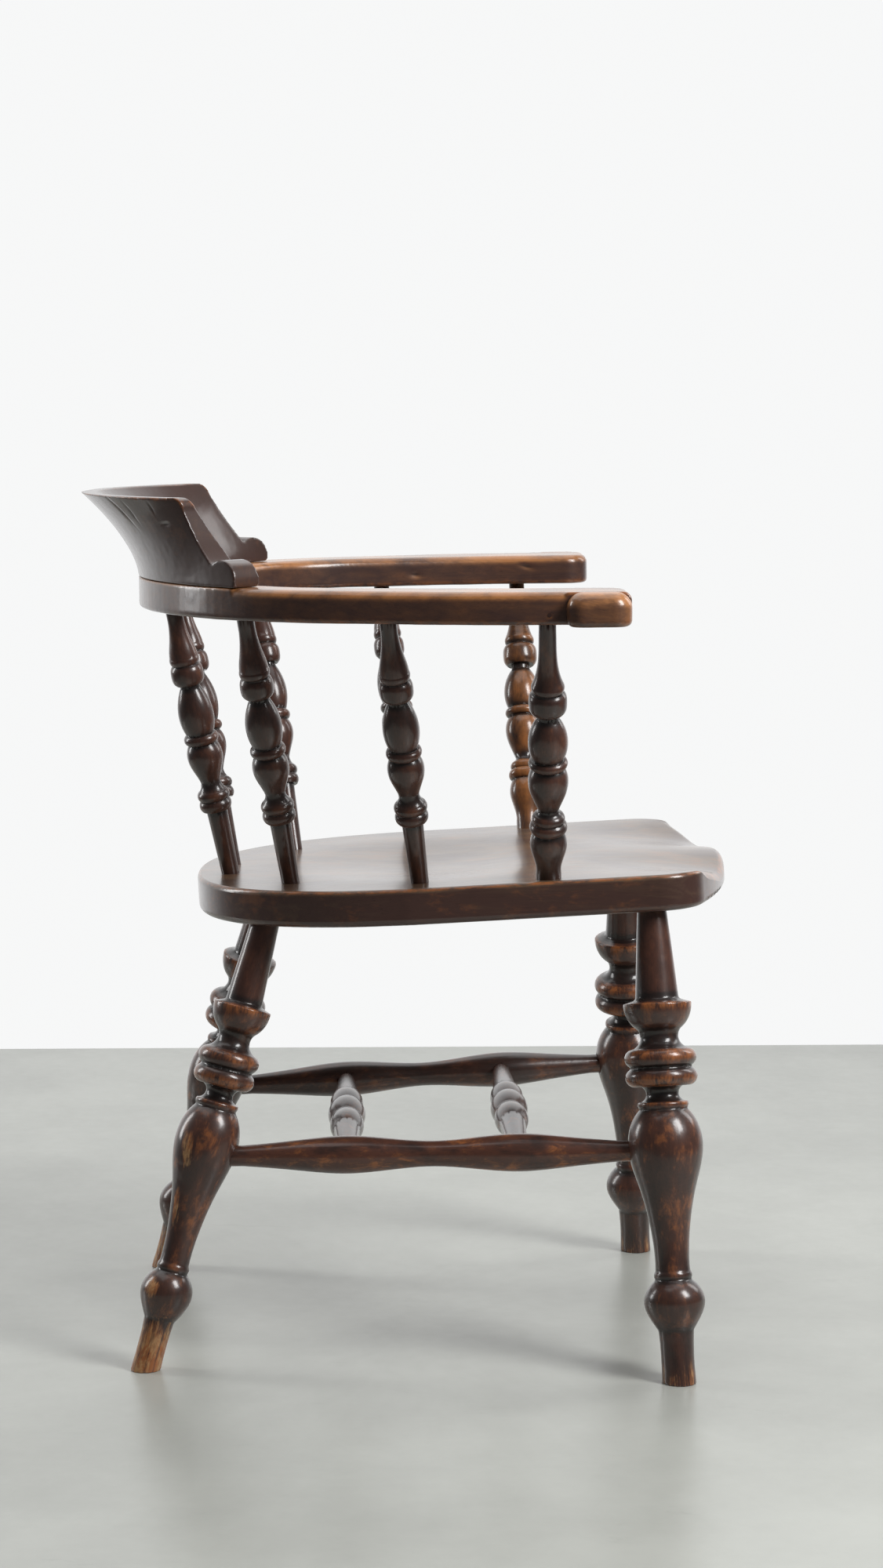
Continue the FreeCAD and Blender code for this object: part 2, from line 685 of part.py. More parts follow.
def tip_block():
    """The arm's tip, square on its outer side where the hand block is glued."""
    back_y = HAND_LENGTH - ARM_LENGTH
    inner_x = ARM_REACH - ARM_WIDTH
    corner = V(inner_x + ARM_TIP_ROUND, ARM_TIP_ROUND - ARM_LENGTH, 0)
    side_point = V(inner_x, corner.y, 0)
    front_point = V(corner.x, -ARM_LENGTH, 0)
    diagonal = ARM_TIP_ROUND * math.sqrt(0.5)
    outer_front = V(ARM_REACH, -ARM_LENGTH, 0)
    edges = [
        Part.makeLine(V(ARM_REACH, back_y, 0), outer_front),
        Part.makeLine(outer_front, front_point),
        Part.Arc(front_point, corner - V(diagonal, diagonal, 0), side_point).toShape(),
        Part.makeLine(side_point, V(inner_x, back_y, 0)),
        Part.makeLine(V(inner_x, back_y, 0), V(ARM_REACH, back_y, 0)),
    ]
    block = extruded(edges, -ARM_THICKNESS, 0)

    bottom = 1 - ARM_THICKNESS

    def is_free(point, edge):
        return is_level(edge) and point.x < ARM_REACH - 1 and point.y < back_y - 1

    block = rounded_edges(block, ARM_TOP_ROUND, lambda p, e: is_free(p, e) and p.z > -1)
    return rounded_edges(block, ARM_BOTTOM_ROUND, lambda p, e: is_free(p, e) and p.z < bottom)


def left_arm_blank():
    return bow_block().fuse(arm_block()).fuse(tip_block()).removeSplitter()


def left_hand_block():
    """The piece glued to the arm's tip, which hangs a little below the arm and has a domed top."""
    corner = V(ARM_REACH, -ARM_LENGTH, -ARM_THICKNESS - HAND_DROP)
    box = Part.makeBox(HAND_WIDTH, HAND_LENGTH, ARM_THICKNESS + HAND_DROP, corner)
    outer_x = ARM_REACH + HAND_WIDTH - 1
    front_y = 1 - ARM_LENGTH
    back_y = HAND_LENGTH - ARM_LENGTH - 1

    def is_upright(point, edge):
        return point.x > outer_x and not is_level(edge)

    box = rounded_edges(box, HAND_FRONT_ROUND, lambda p, e: is_upright(p, e) and p.y < front_y)
    box = rounded_edges(box, HAND_BACK_ROUND, lambda p, e: is_upright(p, e) and p.y > back_y)

    def is_rim(point, edge):
        return is_level(edge) and point.x > ARM_REACH + 1

    bottom = 1 - ARM_THICKNESS
    box = rounded_edges(box, HAND_TOP_ROUND, lambda p, e: is_rim(p, e) and p.z > -1)
    return rounded_edges(box, HAND_BOTTOM_ROUND, lambda p, e: is_rim(p, e) and p.z < bottom)


# Crest rail, in the same frame as the bow


def crest_top_reach(angle):
    """Distance from the bow's centre to the crest's top edge, which curves more tightly."""
    offset = BOW_RADIUS + CREST_FLARE - CREST_TOP_RADIUS
    turn = math.radians(angle)
    return offset * math.cos(turn) + math.sqrt(CREST_TOP_RADIUS**2 - (offset * math.sin(turn)) ** 2)


def crest_section(angle):
    """A flared upright section: straight at its foot, swept back towards its top."""
    top_outer = crest_top_reach(angle)
    base_inner = BOW_RADIUS - CREST_BASE_THICKNESS
    top_inner = top_outer - CREST_TOP_THICKNESS
    outer = []
    inner = []
    for step in range(6):
        share = step / 5
        sweep = share**CREST_FLARE_POWER
        height = share * CREST_HEIGHT
        outer.append(on_bow(BOW_RADIUS + (top_outer - BOW_RADIUS) * sweep, angle, height))
        inner.append(on_bow(base_inner + (top_inner - base_inner) * sweep, angle, height))
    outer_curve = Part.BSplineCurve()
    outer_curve.interpolate(outer)
    inner_curve = Part.BSplineCurve()
    inner_curve.interpolate(inner[::-1])
    edges = [
        Part.makeLine(inner[0], outer[0]),
        outer_curve.toShape(),
        Part.makeLine(outer[-1], inner[-1]),
        inner_curve.toShape(),
    ]
    return Part.Wire(edges)


def crest_end_tool():
    """What is sawn off the left end: a rounded corner, an ogee, a notch and a round lobe."""
    notch_turn = math.radians(NOTCH_ANGLE)
    notch = V(LOBE_RADIUS * math.cos(notch_turn), LOBE_HEIGHT + LOBE_RADIUS * math.sin(notch_turn), 0)
    lobe_side = V(LOBE_RADIUS * math.sqrt(0.5), LOBE_HEIGHT + LOBE_RADIUS * math.sqrt(0.5), 0)
    lobe_foot = V(math.sqrt(LOBE_RADIUS**2 - LOBE_HEIGHT**2), 0, 0)
    shoulder_z = CREST_HEIGHT - CREST_CORNER_RADIUS
    ogee_top = V(-OGEE_REACH, shoulder_z - CREST_SHOULDER_DROP, 0)
    chord = notch - ogee_top
    sag = V(chord.y, -chord.x, 0) / chord.Length * OGEE_SAG
    shoulder = V(-OGEE_REACH, shoulder_z, 0)
    corner_turn = CREST_CORNER_RADIUS * (1 - math.sqrt(0.5))
    corner_middle = V(-OGEE_REACH - corner_turn, CREST_HEIGHT - corner_turn, 0)
    corner_top = V(-OGEE_REACH - CREST_CORNER_RADIUS, CREST_HEIGHT, 0)
    # The tool's own corners stand clear of the rail
    above = 1.25 * CREST_HEIGHT
    beyond = 1.8 * BOW_WIDTH
    below = -BOW_WIDTH / 10
    edges = [
        Part.Arc(corner_top, corner_middle, shoulder).toShape(),
        Part.makeLine(shoulder, ogee_top),
        Part.Arc(ogee_top, (ogee_top + notch) / 2 + sag, notch).toShape(),
        Part.Arc(notch, lobe_side, lobe_foot).toShape(),
        Part.makeLine(lobe_foot, V(lobe_foot.x, below, 0)),
        Part.makeLine(V(lobe_foot.x, below, 0), V(beyond, below, 0)),
        Part.makeLine(V(beyond, below, 0), V(beyond, above, 0)),
        Part.makeLine(V(beyond, above, 0), V(corner_top.x, above, 0)),
        Part.makeLine(V(corner_top.x, above, 0), corner_top),
    ]
    tool = extruded(edges, -BOW_WIDTH * 2, BOW_WIDTH * 2)
    across = on_bow(1, CREST_END_ANGLE + 90) - on_bow(0, 0)
    inward = on_bow(0, 0) - on_bow(1, CREST_END_ANGLE)
    turn = FreeCAD.Rotation(across, V(0, 0, 1), inward * -1, "XYZ")
    tool.Placement = FreeCAD.Placement(on_bow(BOW_RADIUS, CREST_END_ANGLE), turn)
    return tool


def crest_blank():
    last = CREST_LOFT_SECTIONS - 1
    angles = [CREST_LOFT_ANGLE * (2 * step / last - 1) for step in range(CREST_LOFT_SECTIONS)]
    body = Part.makeLoft([crest_section(angle) for angle in angles], True, False)
    tool = crest_end_tool()
    return body.cut(tool).cut(mirrored(tool))


def mirrored(shape):
    return shape.mirror(V(0, 0, 0), V(1, 0, 0))


def tilted_bow(shape):
    placed = shape.copy()
    placed.Placement = BOW_TILT.multiply(placed.Placement)
    return placed


# Fasteners, in the same frame as the bow


def crest_dowels(extra):
    """Dowels that stand in the bow and hold the crest; extra deepens the holes."""
    dowels = []
    for angle in DOWEL_ANGLES:
        for sign in (-1, 1):
            foot = on_bow(BOW_RADIUS - CREST_BASE_THICKNESS / 2, sign * angle)
            depth = DOWEL_DEPTH + extra
            dowels.append(rod(foot, V(0, 0, 1), -depth, depth, DOWEL_RADIUS))
    return dowels


def left_arm_pin(extra):
    """A small pin through the arm's outer side into the front spindle's tenon."""
    outer, _ = arm_curves()
    side = point_at_y(outer, FRONT_SPINDLE_BEHIND_ARM_TIP - ARM_LENGTH)
    start = V(side.x, side.y, PIN_ABOVE_UNDERSIDE - ARM_THICKNESS)
    return rod(start, V(-1, 0, 0), 0, PIN_LENGTH + extra, PIN_RADIUS)


# Spindles


def under_arm(from_back):
    """The middle of the left arm's underside, at a distance in front of the bow's back."""
    outer, inner = arm_curves()
    outer_point = point_at_y(outer, -from_back)
    inner_point = point_at_y(inner, -from_back)
    return V((outer_point.x + inner_point.x) / 2, -from_back, -ARM_THICKNESS)


def spindle_ends():
    """Name, foot on the seat, top on the underside of the bow, and pattern, on the left."""
    bow_middle = BOW_RADIUS - BOW_WIDTH / 2
    bend_x = SEAT_WIDTH / 2 - BEND_SPINDLE_FROM_SIDE
    side_x = SEAT_WIDTH / 2 - SIDE_SPINDLE_FROM_SIDE
    front_x = SEAT_WIDTH / 2 - FRONT_SPINDLE_FROM_SIDE
    return [
        (
            "back_spindle",
            V(BACK_SPINDLE_X, SEAT_BACK_Y - BACK_SPINDLE_FROM_BACK, 0),
            on_bow(bow_middle, BACK_SPINDLE_BOW_ANGLE, -ARM_THICKNESS),
            LONG_SPINDLE,
        ),
        (
            "bend_spindle",
            V(bend_x, SEAT_BACK_Y - BEND_SPINDLE_FROM_BACK, 0),
            on_bow(bow_middle, BEND_SPINDLE_BOW_ANGLE, -ARM_THICKNESS),
            LONG_SPINDLE,
        ),
        (
            "side_spindle",
            V(side_x, SEAT_FRONT_Y + SIDE_SPINDLE_FROM_FRONT, 0),
            under_arm(SIDE_SPINDLE_FROM_BOW_BACK),
            LONG_SPINDLE,
        ),
        (
            "front_spindle",
            V(front_x, SEAT_FRONT_Y + FRONT_SPINDLE_FROM_FRONT, 0),
            under_arm(ARM_LENGTH - FRONT_SPINDLE_BEHIND_ARM_TIP),
            STOUT_SPINDLE,
        ),
    ]


def turned_spindle(length, size):
    """The pattern of a spindle between the seat and the bow, with its two tenons."""
    cup = size["cup_radius"]
    vase = size["vase_radius"]
    neck = size["neck_radius"]
    groove = size["groove_radius"]
    ring_groove = size["ring_groove_radius"]
    turned = Turning(size["foot_radius"], -SPINDLE_SOCKET_DEPTH)
    turned.line(SPINDLE_SOCKET_DEPTH + SPINDLE_LEAD, size["foot_radius"])
    if size is LONG_SPINDLE:
        turned.line(size["peg_length"] - SPINDLE_LEAD, size["peg_radius"])
        turned.line(0, ring_groove)
    else:
        rise = size["peg_length"] - SPINDLE_LEAD
        turned.sweep(rise, PEG_VASE_SHARES, ring_groove, size["peg_radius"])
    turned.bead(size["ring_length"], size["ring_radius"], ring_groove)
    turned.bead(size["collar_length"], size["collar_radius"], size["collar_top_radius"])
    turned.bead(size["cove_length"], size["cove_radius"], neck)
    turned.sweep(size["low_vase_length"], LOW_VASE_SHARES, groove, vase)
    turned.bead(size["middle_ring_length"], size["middle_ring_radius"], groove)
    turned.sweep(size["high_vase_length"], HIGH_VASE_SHARES, neck, vase)
    turned.line(size["high_neck_length"], neck)
    turned.line(0, size["cup_foot_radius"])
    turned.sweep(size["cup_length"], SPINDLE_CUP_SHARES, size["cup_groove_radius"], cup)
    bead_top = size["cone_bead_top_radius"]
    turned.sweep(size["cone_bead_length"], CONE_BEAD_SHARES, bead_top, size["cone_bead_radius"])
    steps = [((step + 1) / 5, radius) for step, radius in enumerate(size["cone_radii"])]
    turned.sweep(length - SPINDLE_LEAD - turned.height(), steps, SPINDLE_TOP_RADIUS)
    turned.line(SPINDLE_LEAD + SPINDLE_SOCKET_DEPTH, SPINDLE_TOP_RADIUS)
    return turned


def spindle(foot, top, size):
    """A turned spindle, and the tools for its sockets in the seat and in the bow."""
    length = (top - foot).Length
    depth = SPINDLE_SOCKET_DEPTH + SOCKET_END_GAP
    body = turned_spindle(length, size).solid(foot, top - foot)
    low_tool = rod(foot, top - foot, -depth, SPINDLE_LEAD, size["foot_radius"])
    high_tool = rod(foot, top - foot, length - SPINDLE_LEAD, length + depth, SPINDLE_TOP_RADIUS)
    return body, low_tool, high_tool


# The whole chair: each piece in its place, with the sockets cut by the same shapes


def chair():
    pieces = {}
    seat_tools = []
    leg_bodies = {}
    for end in ("front", "back"):
        for name, side in SIDES:
            body, socket = leg(end, side)
            leg_bodies[end, name] = body
            seat_tools.append(socket)
    stretchers = {}
    for name, side in SIDES:
        body, tools = side_stretcher(side)
        stretchers[name] = body
        leg_bodies["back", name] = leg_bodies["back", name].cut(tools[0])
        leg_bodies["front", name] = leg_bodies["front", name].cut(tools[1])
    for which in ("front", "back"):
        body, tools = cross_stretcher(which)
        pieces[which + "_cross_stretcher"] = body
        stretchers["right"] = stretchers["right"].cut(tools[0])
        stretchers["left"] = stretchers["left"].cut(tools[1])
    for (end, name), body in leg_bodies.items():
        pieces[end + "_" + name + "_leg"] = body
    for name, body in stretchers.items():
        pieces[name + "_side_stretcher"] = body

    arm_tools = [tilted_bow(hole) for hole in crest_dowels(SOCKET_END_GAP)]
    pin = tilted_bow(left_arm_pin(0))
    pin_hole = tilted_bow(left_arm_pin(PIN_END_GAP))
    for name, foot, top, size in spindle_ends():
        body, low_tool, high_tool = spindle(SEAT_TILT.multVec(foot), BOW_TILT.multVec(top), size)
        if size is STOUT_SPINDLE:
            body = body.cut(pin_hole)
        pieces["left_" + name] = body
        pieces["right_" + name] = mirrored(body)
        seat_tools += [low_tool, mirrored(low_tool)]
        arm_tools.append(high_tool)
    arm = cut_all(tilted_bow(left_arm_blank()), arm_tools + [pin_hole])
    pieces["left_arm"] = arm
    pieces["right_arm"] = mirrored(arm)
    hand = tilted_bow(left_hand_block())
    pieces["left_hand_block"] = hand
    pieces["right_hand_block"] = mirrored(hand)
    crest_holes = [tilted_bow(hole) for hole in crest_dowels(SOCKET_END_GAP)]
    pieces["crest_rail"] = cut_all(tilted_bow(crest_blank()), crest_holes)
    pieces["crest_dowels"] = Part.makeCompound([tilted_bow(dowel) for dowel in crest_dowels(0)])
    pieces["arm_pins"] = Part.makeCompound([pin, mirrored(pin)])
    pieces["seat"] = cut_all(seat_blank(), seat_tools)
    return pieces


def main():
    os.makedirs("parts", exist_ok=True)
    pieces = chair()
    whole = Part.makeCompound(list(pieces.values())).optimalBoundingBox(False, False)
    to_origin = V(0, -(whole.YMin + whole.YMax) / 2, 0)
    for name, shape in pieces.items():
        shape.translate(to_origin)
        shape.exportStep("parts/" + name + ".step")


main()
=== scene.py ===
import math

import bpy
import numpy as np
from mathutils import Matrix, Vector


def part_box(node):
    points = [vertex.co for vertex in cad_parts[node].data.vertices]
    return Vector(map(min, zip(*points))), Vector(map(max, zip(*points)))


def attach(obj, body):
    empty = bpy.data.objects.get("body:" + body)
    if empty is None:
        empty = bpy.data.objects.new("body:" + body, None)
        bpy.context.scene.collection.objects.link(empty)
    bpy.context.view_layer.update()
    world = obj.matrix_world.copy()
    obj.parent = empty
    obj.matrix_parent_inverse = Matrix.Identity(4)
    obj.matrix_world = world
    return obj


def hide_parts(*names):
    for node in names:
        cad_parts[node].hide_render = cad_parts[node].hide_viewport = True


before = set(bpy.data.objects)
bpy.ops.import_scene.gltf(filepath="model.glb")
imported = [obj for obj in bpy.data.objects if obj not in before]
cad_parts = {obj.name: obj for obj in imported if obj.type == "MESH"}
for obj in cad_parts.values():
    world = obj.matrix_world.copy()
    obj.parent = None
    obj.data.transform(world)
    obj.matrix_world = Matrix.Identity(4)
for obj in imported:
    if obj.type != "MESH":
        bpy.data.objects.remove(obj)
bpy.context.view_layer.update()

bl_info = {
    "name": "Captain's chair finish",
    "version": (1, 0, 0),
    "blender": (4, 5, 0),
    "location": "View3D > Sidebar > Chair",
    "description": "Dresses a turned captain's chair in aged, polished wood",
    "category": "Object",
}

MILLIMETRE = 0.001
SIDES = ("right", "left")
SPINDLES = ("back_spindle", "bend_spindle", "side_spindle", "front_spindle")
WORN_SUFFIX = "_worn"

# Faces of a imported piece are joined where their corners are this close
WELD_GAP = 0.02 * MILLIMETRE
# Spacing of the faces on the pieces with softened edges
LEG_SPACING = 1.1 * MILLIMETRE
ARM_SPACING = 1.5 * MILLIMETRE
HAND_BLOCK_SPACING = 1.0 * MILLIMETRE
CREST_SPACING = 1.35 * MILLIMETRE
# Size of the waves that hand tools leave
TOOL_WAVE = 0.03

# The axis of a turned piece is fitted in rounds to the middles of its slices
AXIS_SLICES = 40
AXIS_ROUNDS = 5
SLICE_POINTS = 20
# A turned profile is read in steps and compared with its average over a spread
PROFILE_STEP = 1.5 * MILLIMETRE
PROFILE_SPREAD = 5.5 * MILLIMETRE
PROFILE_REACH = 12
# Edges of the boards stand out less than the rings of the turned pieces, and wear as much
EDGE_GAIN = 3

# Heights between which wear fades: the feet, the reach of shoes and the top of the crest rail
FRONT_FOOT = (0.0, 0.06)
BACK_FOOT = (0.02, 0.08)
SHOE_REACH = (0.31, 0.35)
CREST_TOP = (0.776, 0.79)
# How bare the wood is on the feet and in the streaks
FRONT_FOOT_BARENESS = 0.5
BACK_FOOT_BARENESS = 0.78
STREAK_BARENESS = 0.74

# Pale streaks on the back right leg: middle, width and height
BACK_LEG_STREAKS = (
    ((-0.187, 0.201, 0.205), 0.026, 0.075),
    ((-0.184, 0.211, 0.147), 0.020, 0.080),
    ((-0.205, 0.236, 0.082), 0.042, 0.046),
)
# Dents: middle, direction, length, width and depth
CREST_DENTS = (
    ((-0.1160, 0.260, 0.779), (-0.009, -0.024, -0.023), 0.034, 0.0036, 0.0008),
    ((-0.1318, 0.250, 0.779), (-0.001, -0.012, -0.015), 0.020, 0.0032, 0.0007),
    ((-0.1681, 0.217, 0.769), (-0.6, -0.6, 0.1), 0.012, 0.0036, 0.0009),
    ((-0.1625, 0.230, 0.784), (0.001, -0.005, -0.009), 0.012, 0.0030, 0.0006),
)
ARM_DENTS = {
    "left": (
        ((0.2421, -0.016, 0.6995), (0.0, 1.0, 0.1), 0.012, 0.006, 0.0009),
        ((0.2559, -0.129, 0.7068), (0.0, 1.0, 0.2), 0.014, 0.005, 0.0009),
    ),
    "right": (),
}

# Patterns in the wood: stretch, with the grain along Z, then scale, detail, roughness and distortion
WOOD_PATTERNS = {
    "fibres": ((260, 260, 10), 1.0, 6.0, 0.62, 0.4),
    "pores": ((1500, 1500, 60), 1.0, 2.0, 0.55, 0.0),
    "figure": ((70, 70, 5), 1.0, 6.0, 0.6, 1.4),
    "clouds": ((1, 1, 0.6), 24.0, 4.0, 0.55, 0.3),
    "mottle": ((1, 1, 0.45), 95.0, 8.0, 0.68, 0.5),
    "specks": ((1, 1, 0.3), 520.0, 4.0, 0.6, 0.0),
    "knocks": ((1, 1, 1), 34.0, 3.0, 0.5, 0.0),
}
COAT_ROUGHNESS = 0.21
SPECULAR_LEVEL = 0.22
GRAIN_STRENGTH = 0.8

# Soft lights: name, place, width and height, and power
LIGHTS = (
    ("Front window", (-1.3, -1.7, 2.0), (0.8, 1.3), 60),
    ("Back window", (0.8, 2.4, 1.3), (0.5, 1.6), 24),
    ("Far window", (1.1, -2.3, 1.8), (0.7, 1.5), 13),
    ("Ceiling", (0.5, 0.2, 3.0), (3.2, 3.2), 40),
)
LIT_POINT = (0, 0, 0.45)
# What the camera sees behind the chair, and what the polish reflects from near and far
WALL = (0.93, 0.935, 0.935, 1)
NEAR_GLOW = (0.07, 0.072, 0.075, 1)
FAR_GLOW = (1.0, 1.005, 1.01, 1)
SCUFF_SHADE = 0.8


def shade(red, green, blue):
    """A colour as seen on a screen, from 0 to 255, as linear light."""
    linear = []
    for value in (red, green, blue):
        share = value / 255
        linear.append(share / 12.92 if share <= 0.04045 else ((share + 0.055) / 1.055) ** 2.4)
    return tuple(linear)


def colour_property(name, description, default):
    return bpy.props.FloatVectorProperty(
        name=name, description=description, subtype="COLOR", min=0, max=1, default=default
    )


def share_property(name, description, default):
    return bpy.props.FloatProperty(
        name=name, description=description, subtype="FACTOR", min=0, max=1, default=default
    )


def length_property(name, description, default):
    return bpy.props.FloatProperty(
        name=name, description=description, subtype="DISTANCE", unit="LENGTH", min=0, default=default
    )


class ChairColours(bpy.types.PropertyGroup):
    """Colours of the stained wood, from its deepest grooves to bare wood."""

    groove: colour_property("Groove", "Old polish and dirt in the grooves", shade(21, 15, 14))
    stain: colour_property("Stain", "Deep brown stain on the turned pieces", shade(47, 34, 31))
    warm: colour_property("Warm stain", "Redder stain where it is thin", shade(88, 54, 42))
    worn: colour_property("Worn", "Orange brown of rubbed edges and rings", shade(156, 94, 52))
    bare: colour_property("Bare", "Pale wood where the finish has gone", shade(188, 146, 100))
    light: colour_property("Light", "The one spindle that took less stain", shade(156, 100, 54))
    # Lit golden: the tops' own golden tone, made lighter as painted light from above
    lit_golden: colour_property("Golden", "Tops of the arms and hand blocks", shade(178, 120, 70))
    board: colour_property("Board", "Sides of the arms and the seat's edge", shade(72, 50, 44))
    # Seat: the top's own tone, made paler in part as painted light from above
    seat: colour_property("Seat", "Top of the seat", shade(106, 86, 66))
    crest: colour_property("Crest", "Faces of the crest rail", shade(62, 46, 40))


class ChairWear(bpy.types.PropertyGroup):
    """How worn the chair is."""

    rings: share_property("Rings", "Wear on the crowns of rings, cups and rims", 0.8)
    edges: share_property("Edges", "Wear along the edges of the boards", 0.8)
    patches: share_property("Patches", "Wear in patches on the turned pieces", 0.6)
    roughness: share_property("Roughness", "Dullness of the wood under the polish", 0.34)
    polish: share_property("Polish", "Weight of the wax polish on the wood", 1.0)
    grain_depth: length_property("Grain depth", "Depth of the open grain", 0.00016)
    wobble: length_property("Wobble", "Unevenness left by the turner's and carver's tools", 0.0004)


class ChairStudio(bpy.types.PropertyGroup):
    """The plain studio around the chair."""

    floor_size: length_property("Floor", "Side of the square floor", 2.8)
    floor_colour: colour_property("Floor colour", "Pale grey of the floor", shade(184, 186, 179))
    lens: bpy.props.FloatProperty(name="Lens", description="Focal length", unit="CAMERA", default=86.45)
    place: bpy.props.FloatVectorProperty(
        name="Camera", description="Place of the camera", subtype="TRANSLATION", unit="LENGTH",
        default=(-3.5558, 0.0605, 0.9245),
    )
    yaw: bpy.props.FloatProperty(
        name="Yaw", description="Turn of the camera from +X", subtype="ANGLE",
        default=math.radians(-1.547),
    )
    pitch: bpy.props.FloatProperty(
        name="Pitch", description="Downward tilt of the camera", subtype="ANGLE",
        default=math.radians(6.572),
    )


class Graph:
    """Adds nodes to a tree; an input may be a number, a colour or another node's output."""

    def __init__(self, tree):
        self.tree = tree

    def put(self, socket, value):
        if isinstance(value, bpy.types.NodeSocket):
            self.tree.links.new(value, socket)
        else:
            socket.default_value = value

    def node(self, kind, inputs, **settings):
        made = self.tree.nodes.new("ShaderNode" + kind)
        for name, value in settings.items():
            setattr(made, name, value)
        for name, value in inputs.items():
            self.put(made.inputs[name], value)
        return made

    def math(self, operation, *values):
        return self.node("Math", dict(enumerate(values)), operation=operation).outputs[0]

    def clamped(self, operation, *values):
        return self.node("Math", dict(enumerate(values)), operation=operation, use_clamp=True).outputs[0]

    def centred(self, value, noise, strength):
        """The value with a noise around its middle added to it."""
        return self.math("MULTIPLY_ADD", self.math("SUBTRACT", noise, 0.5), strength, value)

    def between(self, value, low, high):
        """0 below low, 1 above high and smooth between them."""
        inputs = {"Value": value, "From Min": low, "From Max": high}
        return self.node("MapRange", inputs, interpolation_type="SMOOTHSTEP").outputs[0]

    def blend(self, share, first, second, mode="MIX"):
        made = self.node("Mix", {0: share, 6: first, 7: second}, data_type="RGBA", blend_type=mode)
        return made.outputs[2]

    def stretched(self, vector, scale):
        return self.node("VectorMath", {0: vector, 1: scale}, operation="MULTIPLY").outputs[0]

    def noise(self, vector, scale, detail, roughness, distortion=0.0):
        inputs = {
            "Vector": vector,
            "Scale": scale,
            "Detail": detail,
            "Roughness": roughness,
            "Distortion": distortion,
        }
        return self.node("TexNoise", inputs).outputs[0]


def new_group(name, inputs, outputs):
    """An empty shader group with its sockets, and the nodes that stand for them inside."""
    tree = bpy.data.node_groups.new(name, "ShaderNodeTree")
    for label, kind, default in inputs:
        socket = tree.interface.new_socket(name=label, in_out="INPUT", socket_type="NodeSocket" + kind)
        if default is not None:
            socket.default_value = default
    for label, kind in outputs:
        tree.interface.new_socket(name=label, in_out="OUTPUT", socket_type="NodeSocket" + kind)
    return tree, tree.nodes.new("NodeGroupInput").outputs, tree.nodes.new("NodeGroupOutput").inputs


def aged_wood_group():
    """Stained and polished wood whose grain runs along Z, worn by its relief and in patches."""
    white = (1.0, 1.0, 1.0, 1.0)
    tree, given, wanted = new_group(
        "Aged polished wood",
        [
            ("Vector", "Vector", None),
            ("Relief", "Float", 0.0),
            ("Warmth", "Float", 0.5),
            ("Bareness", "Float", 0.0),
            ("Wear", "Float", 0.7),
            ("Patches", "Float", 0.5),
            ("Figure", "Float", 0.3),
            ("Dullness", "Float", 0.25),
            ("Groove Colour", "Color", white),
            ("Stain Colour", "Color", white),
            ("Warm Colour", "Color", white),
            ("Worn Colour", "Color", white),
            ("Bare Colour", "Color", white),
        ],
        [("Color", "Color"), ("Roughness", "Float"), ("Height", "Float")],
    )
    graph = Graph(tree)
    place = given["Vector"]
    pattern = {}
    for name, (stretch, *shape) in WOOD_PATTERNS.items():
        pattern[name] = graph.noise(graph.stretched(place, stretch), *shape)
    fibres, clouds, mottle, specks = (pattern[name] for name in ("fibres", "clouds", "mottle", "specks"))
    pores = graph.between(pattern["pores"], 0.55, 0.75)

    thin = graph.between(graph.centred(clouds, mottle, 0.5), 0.2, 0.75)
    warmth = graph.math("MULTIPLY", given["Warmth"], thin)
    grain = graph.math("MULTIPLY", given["Figure"], graph.math("SUBTRACT", pattern["figure"], 0.5))
    warmth = graph.clamped("MULTIPLY_ADD", grain, 2.0, warmth)
    body = graph.blend(warmth, given["Stain Colour"], given["Warm Colour"])

    broken = graph.between(graph.centred(mottle, specks, 0.6), 0.34, 0.62)
    crown = graph.math("MULTIPLY", graph.between(given["Relief"], 0.2, 2.4), given["Wear"])
    rubbed = graph.between(graph.centred(mottle, clouds, 0.9), 0.5, 0.74)
    patch = graph.math("MULTIPLY", graph.math("MULTIPLY", rubbed, given["Patches"]), broken)
    wear = graph.clamped("MULTIPLY_ADD", crown, broken, patch)
    body = graph.blend(wear, body, given["Worn Colour"])

    groove = graph.between(graph.math("MULTIPLY", given["Relief"], -1.0), 0.1, 2.0)
    body = graph.blend(graph.math("MULTIPLY", groove, 0.85), body, given["Groove Colour"])

    frayed = graph.centred(graph.centred(given["Bareness"], fibres, 1.5), specks, 0.5)
    bareness = graph.between(graph.centred(frayed, clouds, 0.5), 0.42, 0.85)
    scrubbed = graph.blend(graph.between(mottle, 0.4, 0.62), given["Worn Colour"], given["Bare Colour"])
    body = graph.blend(bareness, body, scrubbed)
    shaded = graph.math("SUBTRACT", 1.0, graph.math("MULTIPLY", pores, 0.3))
    shadow = graph.node("CombineColor", {"Red": shaded, "Green": shaded, "Blue": shaded}).outputs[0]
    graph.put(wanted["Color"], graph.blend(1.0, body, shadow, "MULTIPLY"))

    dull = graph.math("MULTIPLY_ADD", mottle, 0.2, given["Dullness"])
    dull = graph.math("MULTIPLY_ADD", groove, 0.15, dull)
    graph.put(wanted["Roughness"], graph.clamped("MULTIPLY_ADD", bareness, 0.3, dull))
    height = graph.math("MULTIPLY_ADD", fibres, 0.35, graph.math("MULTIPLY", pores, -0.15))
    height = graph.math("MULTIPLY_ADD", pattern["knocks"], 1.2, height)
    graph.put(wanted["Height"], graph.math("MULTIPLY_ADD", bareness, -0.4, height))
    return tree


